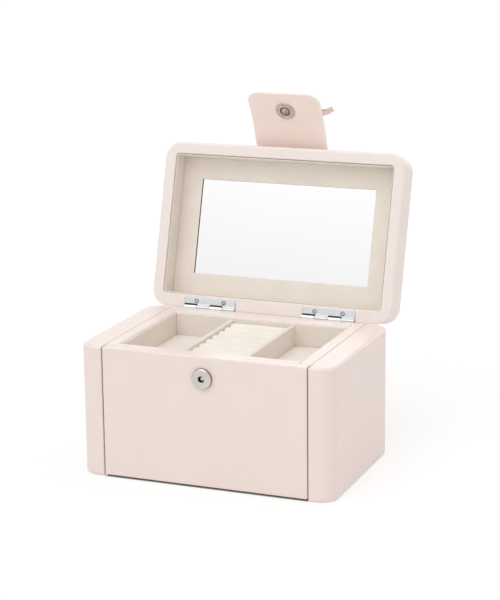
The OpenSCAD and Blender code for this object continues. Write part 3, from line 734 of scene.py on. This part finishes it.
# ---- hinges
def hinge_leaf(bm, x, first, face, reach, to_place):
    """A plate, its knuckles, and dark slabs of painted shade in the other leaf's knuckle gaps. face is the
    plate's height over the axis, reach its far edge, in the hinge's own directions: along X, away from the axis,
    and outwards."""
    thick = 1.0 * MM
    near = KNUCKLE_R + 1.35 * MM
    place = HINGE_W / KNUCKLES
    half = HINGE_W / 2
    rings = []
    for inset, w in ((0.0, face - thick), (0.0, face - 0.18 * MM),
                     (0.06 * MM, face - 0.06 * MM), (0.2 * MM, face)):
        flat = outline(x - half + inset, near, x + half - inset, reach - inset,
                       (0.1 * MM, 0.1 * MM, 2.4 * MM - inset, 0.9 * MM - inset), 7)
        rings.append([to_place(u, v, w) for u, v in flat])
    skin(bm, rings)
    side_gap = 0.15 * MM
    for k in range(KNUCKLES):
        x0, x1 = x - half + k * place + side_gap, x - half + (k + 1) * place - side_gap
        # Where the other leaf's knuckles turn: a slab painted dark, standing in for the shade in the gap.
        if k % 2 != first:
            rings = [[to_place(u, v, w) for u, v in outline(x0, KNUCKLE_R - 0.6 * MM, x1, near + 0.3 * MM,
                                                            (0.1 * MM,) * 4, 2)]
                     for w in (face - thick, face - 0.1 * MM)]
            skin(bm, rings, which=lambda ring, place: 1)
            bm.faces.ensure_lookup_table()
            bm.faces[-1].material_index = bm.faces[-2].material_index = 1
            continue
        fillet = 0.5 * MM
        vc = math.sqrt((KNUCKLE_R + fillet) ** 2 - (face + fillet) ** 2)
        start = math.atan2(face + fillet, vc)
        back = math.asin(max(-1.0, (face - thick) / KNUCKLE_R))
        rings = []
        for u, shrink in ((x0, 0.22), (x0 + 0.08 * MM, 0.08), (x0 + 0.22 * MM, 0.0), (x1 - 0.22 * MM, 0.0),
                          (x1 - 0.08 * MM, 0.08), (x1, 0.22)):
            radius = KNUCKLE_R - shrink * MM
            low = shrink * 0.6 * MM
            section = [(near + 0.1 * MM, face - low)]
            for i in range(7):
                a = -math.pi / 2 - (math.pi / 2 - start) * i / 6
                section.append((vc + fillet * math.cos(a), face + fillet + fillet * math.sin(a) - low))
            for i in range(1, 34):
                a = start + (2 * math.pi + back - start) * i / 33
                section.append((radius * math.cos(a), radius * math.sin(a)))
            section.append((near + 0.1 * MM, face - thick))
            rings.append([to_place(u, v, w) for v, w in section])
        skin(bm, rings, which=lambda ring, place: 2)


def screw_head(bm, centre, out, turn):
    """Countersunk head with a cross recess, and a ring of painted shade for the gap round it."""
    out, across = Vector(out).normalized(), Vector((1, 0, 0))
    third = out.cross(across)
    angles = [2 * math.pi * i / 56 for i in range(56)]
    spokes = [(across * math.cos(a) + third * math.sin(a)) * SCREW_R for a in angles]
    rings = []
    for share in (0.04, 0.14, 0.24, 0.32, 0.4, 0.48, 0.56, 0.62, 0.68, 0.76, 0.86, 0.94, 0.985, 1.0):
        ring = []
        for a, spoke in zip(angles, spokes):
            px, py = share * math.cos(a - turn), share * math.sin(a - turn)
            slot = max(min((0.17 - min(abs(px), abs(py))) / 0.07, 1.0), 0.0)
            slot *= max(min((0.6 - share) / 0.08, 1.0), 0.0)
            rise = 0.2 * MM * (1 - share ** 2) - 0.5 * MM * slot - (0.22 * MM if share == 1.0 else 0.0)
            ring.append(Vector(centre) + spoke * share + out * rise)
        rings.append(ring)
    rings.append([p - out * 0.6 * MM for p in rings[-1]])
    skin(bm, rings)
    # A ring in the dark finish round the head: painted shade for the gap.
    gap = []
    for share, rise in ((0.9, -0.3), (1.0, 0.02), (1.1, 0.02), (1.12, -0.02), (1.12, -0.3)):
        gap.append([Vector(centre) + spoke * share + out * rise * MM for spoke in spokes])
    skin(bm, gap, which=lambda ring, place: 1)


def hinge_pieces():
    """Both leaves of each hinge, standing a little proud of their boards, and the screws in them."""
    proud = 0.22 * MM
    body_face, lid_face = HALF_D + proud - HINGE_Y, HINGE_Z - LID_Z0 + proud

    def on_body(u, v, w):
        return (u, HINGE_Y + w, HINGE_Z - v)

    def on_lid(u, v, w):
        return (u, HINGE_Y - v, HINGE_Z - w)

    for x, side in zip(HINGE_XS, ("left", "right")):
        reach = HINGE_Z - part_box(side + "_hinge_body_leaf")[0].z
        for leaf, first, face, far, to_place, finish, place in (
                ("body", 0, body_face, reach, on_body, (BODY_LEAF_NICKEL_PAINTED_LIGHTER, GAP_SHADE_DARK, BODY_LEAF_NICKEL_PAINTED_LIGHTER), None),
                ("lid", 1, lid_face, 9.4 * MM, on_lid, (NICKEL, GAP_SHADE_DARK, LID_KNUCKLE_NICKEL_PAINTED_SHADE), OPEN_LID)):
            bm = bmesh.new()
            hinge_leaf(bm, x, first, face, far, to_place)
            piece(side + "_" + leaf + "_leaf_plate", bm, finish, leaf,
                  [side + "_hinge_" + leaf + "_leaf"], place)
    for leaf, y, z, out, turns, place in (
            ("body", HALF_D + proud, BODY_H - SCREW_IN, (0, 1, 0), (0.5, 1.0, 0.7), None),
            ("lid", HALF_D - SCREW_IN, LID_Z0 - proud, (0, 0, -1), (0.2, 0.8, 0.5), OPEN_LID)):
        bm = bmesh.new()
        for k, x in enumerate(HINGE_XS):
            for n, side in enumerate((-1, 1)):
                screw_head(bm, (x + side * SCREW_DX, y, z), out, turns[0] + turns[1] * k + turns[2] * n)
        piece(leaf + "_screw_heads", bm, (SCREW, GAP_SHADE_DARK), leaf, ["hinge_screws_" + leaf],
              place)


# ---- snap
def arc_profile(r_centre, h_centre, r, start, end, steps=6):
    """Points of a rounded corner in a turned piece's profile, between two angles in degrees."""
    return [(r_centre + r * math.cos(math.radians(start + (end - start) * k / steps)),
             h_centre + r * math.sin(math.radians(start + (end - start) * k / steps))) for k in range(steps + 1)]


def snap_pieces():
    """The socket and its rivet on the drawer front, and the stud's plate on the flap's inner face."""
    face, tall = -HALF_D, 3.2 * MM
    centre = (0, face, SNAP_Z)
    out, across = (0, -1, 0), (1, 0, 0)
    bm = bmesh.new()
    profile = [(SNAP_R - 0.9 * MM, 0.0), (SNAP_R - 0.1 * MM, 0.0), (SNAP_R, 0.25 * MM)]
    profile += arc_profile(SNAP_R - 1.6 * MM, tall - 1.75 * MM, 1.6 * MM, 0, 80, 8)
    profile += [(6.6 * MM, tall - 0.05 * MM), (6.3 * MM, tall - 0.16 * MM), (6.05 * MM, tall - 0.16 * MM),
                (5.75 * MM, tall - 0.02 * MM), (4.2 * MM, tall)]
    profile += arc_profile(3.2 * MM, tall - 0.45 * MM, 0.45 * MM, 90, 180)
    profile += [(2.7 * MM, tall - 1.6 * MM), (2.7 * MM, 0.1 * MM), (3.6 * MM, 0.0)]
    # The lower side wall takes the darker finish, a painted reflection.
    turned(bm, profile, centre, out, across, which=lambda ring, place: int(ring < 7))
    piece("snap_socket_cup", bm, (SATIN_NICKEL_PAINTED_PINK, SOCKET_SIDE_PAINTED_REFLECTION), "drawer", ["snap_socket"])
    bm = bmesh.new()
    dome = [(2.62 * MM, 0.0), (2.62 * MM, 0.4 * MM), (2.3 * MM, 0.72 * MM), (1.7 * MM, 1.05 * MM),
            (1.0 * MM, 1.25 * MM), (0.45 * MM, 1.32 * MM), (0.05 * MM, 1.34 * MM)]
    turned(bm, dome, centre, out, across, 48)
    piece("snap_rivet_head", bm, SATIN_NICKEL_PAINTED_PINK, "drawer", ["snap_rivet"])

    # Stud on the flap's inner face, in the closed flap's place, facing the drawer
    stud_y = -HALF_D - 3.5 * MM
    bm = bmesh.new()
    profile = [(SNAP_R - 1.2 * MM, -1.1 * MM), (SNAP_R - 0.15 * MM, -1.0 * MM), (SNAP_R, -0.7 * MM)]
    profile += arc_profile(SNAP_R - 0.6 * MM, -0.6 * MM, 0.6 * MM, 0, 90, 5)
    profile += [(7.3 * MM, -0.05 * MM), (6.9 * MM, -0.3 * MM), (6.5 * MM, -0.34 * MM), (6.1 * MM, -0.1 * MM),
                (5.2 * MM, 0.02 * MM), (4.6 * MM, -0.05 * MM), (4.2 * MM, -0.28 * MM), (3.4 * MM, -0.3 * MM),
                (2.5 * MM, -0.22 * MM), (2.0 * MM, 0.1 * MM), (1.85 * MM, 0.6 * MM), (1.85 * MM, 1.5 * MM)]
    profile += arc_profile(1.35 * MM, 1.65 * MM, 0.5 * MM, 0, 90, 5)
    profile += [(0.75 * MM, 2.1 * MM), (0.62 * MM, 1.5 * MM), (0.05 * MM, 1.3 * MM)]
    # The groove's wall and floor, the dimple in the post's tip and its end get the dark finish: painted shade.
    dark = (14, 15, len(profile) - 3, len(profile) - 2)
    turned(bm, profile, (0, stud_y, SNAP_Z), (0, 1, 0), across, which=lambda ring, place: int(ring in dark))
    bm.faces.ensure_lookup_table()
    bm.faces[-1].material_index = 1
    piece("snap_stud_plate", bm, (STUD, GAP_SHADE_DARK), "flap", ["snap_stud"], OPEN_FLAP)


# ---- flap and bow
def sway(s):
    """How far the strap has bowed out towards the snap's height, s along it."""
    u = min(1.0, max(0.0, s / SWAY_LEN))
    return FLAP_OFF * u * u * (3 - 2 * u)


def flap_strap():
    """One leather strip from the lid's front edge, bent once and bowed out over the snap."""
    bend = FLAP_BEND - math.pi / 2
    turn = Matrix.Rotation(bend, 4, "X")
    axis = Vector((0, FLAP_Y, ROOT_Z))

    def centre(s):
        if s <= 0:
            return Vector((0, FLAP_Y - s, ROOT_Z))
        return axis + (turn @ Vector((0, -sway(s), -s, 1)).to_3d())

    def soft_centre(s):
        knee = 2.2 * MM
        if abs(s) >= knee:
            return centre(s)
        a, b = centre(-knee), centre(knee)
        t = (s + knee) / (2 * knee)
        return a * (1 - t) ** 2 + axis * 2 * t * (1 - t) + b * t * t

    root = -(9.3 * MM)
    places = [root, root + 0.2 * MM, -4 * MM] + [(-2.2 + 0.55 * k) * MM for k in range(9)]
    places += [(3.2 + 1.6 * k) * MM for k in range(26)]
    places = [p for p in places if p < FLAP_LEN - FLAP_CORNER]
    places += [FLAP_LEN - FLAP_CORNER * (1 - math.sin(math.pi / 2 * k / 16)) for k in range(16)]
    places += [FLAP_LEN - v * MM for v in (0.35, 0.2, 0.08, 0.0)]
    places.sort()
    step = 0.05 * MM
    stations = []
    half_t = FLAP_T / 2 - 0.1 * MM
    for s in places:
        along = (soft_centre(s + step) - soft_centre(s - step)).normalized()
        normal = Vector((0, -along.z, along.y))
        past = max(0.0, s - (FLAP_LEN - FLAP_CORNER))
        half_w = FLAP_W / 2 - FLAP_CORNER + math.sqrt(max(FLAP_CORNER ** 2 - past ** 2, 0.0))
        end = FLAP_LEN - s
        t = half_t * (math.sqrt(max(1 - (1 - min(end / (0.9 * MM), 1)) ** 2, 0.0)) * 0.9 + 0.1)
        stations.append((soft_centre(s), Vector((1, 0, 0)), normal, half_w, t, 0.0))
    bm = bmesh.new()
    band(bm, stations, flat=16, arc=6)
    made = piece("flap_strap", bm, (FLAP_LEATHER_PAINTED_LIGHTER, EDGE_PAINT), None, ["flap_panel", "flap_root"],
                 OPEN_LID)
    OPEN_LID @ centre(-1.2 * MM)
    OPEN_LID @ centre(5 * MM)
    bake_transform(made)


def bow():
    """Two flat ribbon loops that hang to the sides and curl up at their ends, held by a narrow band."""
    tilt = 0.155
    top = FLAP_MID_Y - FLAP_T / 2
    middle = Vector((4 * MM, top, SNAP_Z))
    bm = bmesh.new()
    for side in (-1, 1):
        stations = []
        count = 40
        length = (34.5 if side < 0 else 37.6) * MM
        for i in range(count + 1):
            t = i / count
            around = math.pi * (2 * t - 1)
            out = (math.cos(around) * 0.5 + 0.5)
            reach = length * (out ** 0.72)
            puff = math.sqrt(max(math.sin(2 * math.pi * min(t, 1 - t)), 0.0))
            rise = (2.6 + 1.7 * math.sin(around) * puff + 0.6 * (reach / length) ** 3
                    + 2.4 * (reach / length) ** 7) * MM
            droop = reach * tilt - 4.2 * MM * (reach / length) ** 9
            spread = 2.0 + 0.7 * min(1.0, (reach / length) ** 1.3)
            stations.append([Vector((side * reach, -rise, droop)) + middle, spread * MM,
                             0.45 * MM * max(0.0, 1 - reach / (16 * MM))])
        rows = []
        for i, (centre, half_w, ripple) in enumerate(stations):
            before, after = stations[max(i - 1, 0)][0], stations[min(i + 1, count)][0]
            along = after - before
            along = along.normalized() if along.length > 1e-9 else Vector((side, 0, 0))
            across = Vector((-side * tilt, 0, 1))
            across = (across - along * across.dot(along)).normalized()
            rows.append((centre, across, along.cross(across).normalized(), half_w, 0.42 * MM, ripple))
        band(bm, rows, flat=12, arc=4, edge_index=0)
    piece("bow_ribbon_loops", bm, RIBBON, "flap", ["bow_loops"], OPEN_FLAP, even=False)
    bm = bmesh.new()
    rows = []
    count = 28
    for i in range(count + 1):
        a = math.pi * 2 * i / count
        c, d = math.cos(a), math.sin(a)
        y, z = 2.75 * MM * (1 if c > 0 else -1) * abs(c) ** 0.75, 3.5 * MM * (1 if d > 0 else -1) * abs(d) ** 0.6
        normal = Vector((0, c, d * 0.6)).normalized()
        centre = middle + Vector((0, -2.85 * MM + y, z))
        rows.append((centre, Vector((1, 0, 0)), normal, 3.6 * MM + 0.3 * MM * abs(d), 0.4 * MM, 0.22 * MM))
    band(bm, rows, flat=12, arc=4, edge_index=0)
    piece("bow_ribbon_wrap", bm, RIBBON, "flap", ["bow_wrap"], OPEN_FLAP, even=False)


# ---- finishes on the frame's own nodes
def finish_nodes():
    """The frame's own pieces that show only at an edge: a finish, and edges a little rounded."""
    for name, finish in (("base_felt", FELT), ("bottom_board", BLUSH), ("tray_board", BOARD),
                         ("drawer_floor", BOARD), ("mirror_spacer", BOARD), ("hinge_pins", NICKEL),
                         ("snap_magnet", MAGNET)):
        node = frame["nodes"][name]
        if not node.data.materials:
            node.data.materials.append(finish)
        for slot in node.material_slots:
            slot.material = finish
        soften = node.modifiers.new("soft_edges", "BEVEL")
        soften.width, soften.segments, soften.limit_method = 0.25 * MM, 2, "ANGLE"


# ---- studio
# Each lamp: the direction it shines from, its strength and its width in degrees. The last one shows only in
# shiny surfaces, the others only light what is matt.
LAMPS = (("key", (-0.2, -0.45, 0.87), 0.57, 50), ("top", (-0.1, -0.1, 0.99), 0.39, 60),
         ("front", (-0.06, -0.98, 0.15), 0.82, 90), ("side", (0.87, 0.15, 0.45), 0.3, 80),
         ("rear", (0.3, 0.6, 0.75), 0.38, 60), ("gloss", (-0.2, -0.45, 0.87), 1.25, 50))
WARM_SIDE = (1.0, 0.78, 0.72)
ROOM_LIGHT = 0.57
CAMERA_PLACE = (0.6112, -1.4862, 0.5495)
CAMERA_YAW, CAMERA_PITCH, CAMERA_ROLL = (math.radians(v) for v in (21.919, 14.103, -0.581))
FOCUS_PIXELS, PICTURE_PIXELS, SENSOR_MM = 1932.284, 600, 36


def sight(tree):
    """1 for a ray that sees things, straight or by way of a shiny or clear surface, and 1 for a straight one."""
    path = add(tree, "ShaderNodeLightPath").outputs
    shiny = math_of(tree, "MAXIMUM", path["Is Camera Ray"], path["Is Glossy Ray"])
    return math_of(tree, "MAXIMUM", shiny, path["Is Transmission Ray"]), path["Is Camera Ray"]


def soft_room():
    """White walls. Shiny surfaces see them dimmer overhead and low in front, brighter low behind and at left."""
    world = bpy.data.worlds.new("soft_room")
    bpy.context.scene.world = world
    world.use_nodes = True
    tree = world.node_tree
    tree.nodes.clear()
    seen, straight = sight(tree)
    lit = add(tree, "ShaderNodeBackground", {"Color": (1.0, 1.0, 1.0, 1), "Strength": ROOM_LIGHT}).outputs[0]
    course = add(tree, "ShaderNodeSeparateXYZ", {0: add(tree, "ShaderNodeTexCoord").outputs["Generated"]}).outputs
    aim = course[2]
    low, overhead = ramp(tree, aim, 0.27, 0.35, 0.88, 1.03), ramp(tree, aim, 0.5, 0.88, 1.0, 0.8)
    wall = math_of(tree, "MULTIPLY", low, overhead)
    low_down = math_of(tree, "MULTIPLY", ramp(tree, course[1], 0.1, 0.4), ramp(tree, aim, 0.3, 0.5, 0.7, 0.0))
    behind = math_of(tree, "ADD", low_down, wall)
    aside = math_of(tree, "MAXIMUM", behind, ramp(tree, course[0], -0.7, -0.9, 0.0, 1.05))
    far = math_of(tree, "MAXIMUM", aside, straight)
    white = add(tree, "ShaderNodeBackground", {"Color": (1, 1, 1, 1), "Strength": far}).outputs[0]
    mixed = add(tree, "ShaderNodeMixShader", {0: seen, 1: lit, 2: white}).outputs[0]
    add(tree, "ShaderNodeOutputWorld", {"Surface": mixed})


def white_floor():
    """White paper that keeps the box's shadow; its glow is cut off under the body, painted shade that makes the
    narrow gap there dark.
    """
    floor_mesh = bpy.data.meshes.new("studio_floor")
    bm = bmesh.new()
    square = ((-1, -1), (1, -1), (1, 1), (-1, 1))
    skin(bm, [[(x * s, y * s, -0.0002) for x, y in square] for s in (30.0, 2.0)], ends=(False, True))
    bm.to_mesh(floor_mesh)
    bm.free()
    floor = bpy.data.objects.new("studio_floor", floor_mesh)
    bpy.context.scene.collection.objects.link(floor)
    made = bpy.data.materials.new("white_floor")
    made.use_nodes = True
    tree = made.node_tree
    tree.nodes.clear()
    seen = sight(tree)[0]
    place = place_of(tree)
    grain = mottle_of(tree, place, 300.0, 3.0)
    paper = blend_of(tree, grain, (0.88, 0.87, 0.86, 1), (0.9, 0.89, 0.88, 1))
    plain = add(tree, "ShaderNodeBsdfDiffuse", {"Color": paper}).outputs[0]
    held = add(tree, "ShaderNodeBsdfDiffuse", {"Color": (0.36, 0.357, 0.356, 1)}).outputs[0]
    apart = add(tree, "ShaderNodeSeparateXYZ", {0: place}).outputs
    out_x = math_of(tree, "SUBTRACT", math_of(tree, "ABSOLUTE", apart[0], 0.0), SEAM_X - 1 * MM)
    out_y = math_of(tree, "SUBTRACT", math_of(tree, "ABSOLUTE", apart[1], 0.0), HALF_D - 1.5 * MM)
    # Painted shade: no glow under the body, so the gap beneath it shows dark.
    clear = ramp(tree, math_of(tree, "MAXIMUM", out_x, out_y), -1 * MM, 1.5 * MM, 0.0, 0.65)
    glow = add(tree, "ShaderNodeEmission", {"Color": (1, 1, 1, 1), "Strength": clear}).outputs[0]
    shown = add(tree, "ShaderNodeAddShader", {0: held, 1: glow}).outputs[0]
    mixed = add(tree, "ShaderNodeMixShader", {0: seen, 1: plain, 2: shown}).outputs[0]
    add(tree, "ShaderNodeOutputMaterial", {"Surface": mixed})
    floor_mesh.materials.append(made)


def lamps():
    """The lamps of the table, all of them far away."""
    for name, towards, strength, spread in LAMPS:
        lamp = bpy.data.lights.new(name + "_light", "SUN")
        lamp.energy = strength
        lamp.angle = math.radians(spread)
        lamp.color = WARM_SIDE if name == "side" else (1.0, 1.0, 1.0)
        placed = bpy.data.objects.new(name + "_light", lamp)
        bpy.context.scene.collection.objects.link(placed)
        placed.rotation_mode = "QUATERNION"
        placed.rotation_quaternion = Vector(towards).to_track_quat("Z", "Y")
        placed.location = Vector(towards) * 3
        placed.visible_glossy, placed.visible_diffuse = name == "gloss", name != "gloss"


def camera():
    """The photograph's viewpoint."""
    yaw, pitch, roll = CAMERA_YAW, CAMERA_PITCH, CAMERA_ROLL
    ahead = Vector((-math.sin(yaw) * math.cos(pitch), math.cos(yaw) * math.cos(pitch), -math.sin(pitch)))
    level = Vector((math.cos(yaw), math.sin(yaw), 0))
    upright = level.cross(ahead)
    right = level * math.cos(roll) + upright * math.sin(roll)
    up = upright * math.cos(roll) - level * math.sin(roll)
    made = bpy.data.cameras.new("camera")
    made.sensor_fit = "AUTO"
    made.sensor_width = SENSOR_MM
    made.lens = SENSOR_MM * FOCUS_PIXELS / PICTURE_PIXELS
    made.clip_start, made.clip_end = 0.05, 60
    eye = bpy.data.objects.new("camera", made)
    bpy.context.scene.collection.objects.link(eye)
    turn = Matrix((right, up, -ahead)).transposed().to_4x4()
    eye.matrix_world = Matrix.Translation(CAMERA_PLACE) @ turn
    bpy.context.scene.camera = eye


body_pieces()
soft_pad("left_bay_pad", "left_floor_pad", "body", 0.5 * MM, 3.0)
soft_pad("right_bay_pad", "right_floor_pad", "body", 0.5 * MM, 17.0)
ring_rolls()
drawer_pieces()
lid_cover()
lid_inside()
hinge_pieces()
snap_pieces()
flap_strap()
bow()
finish_nodes()
bpy.context.scene.view_settings.view_transform = "Standard"
soft_room()
white_floor()
lamps()
camera()

bpy.context.view_layer.update()
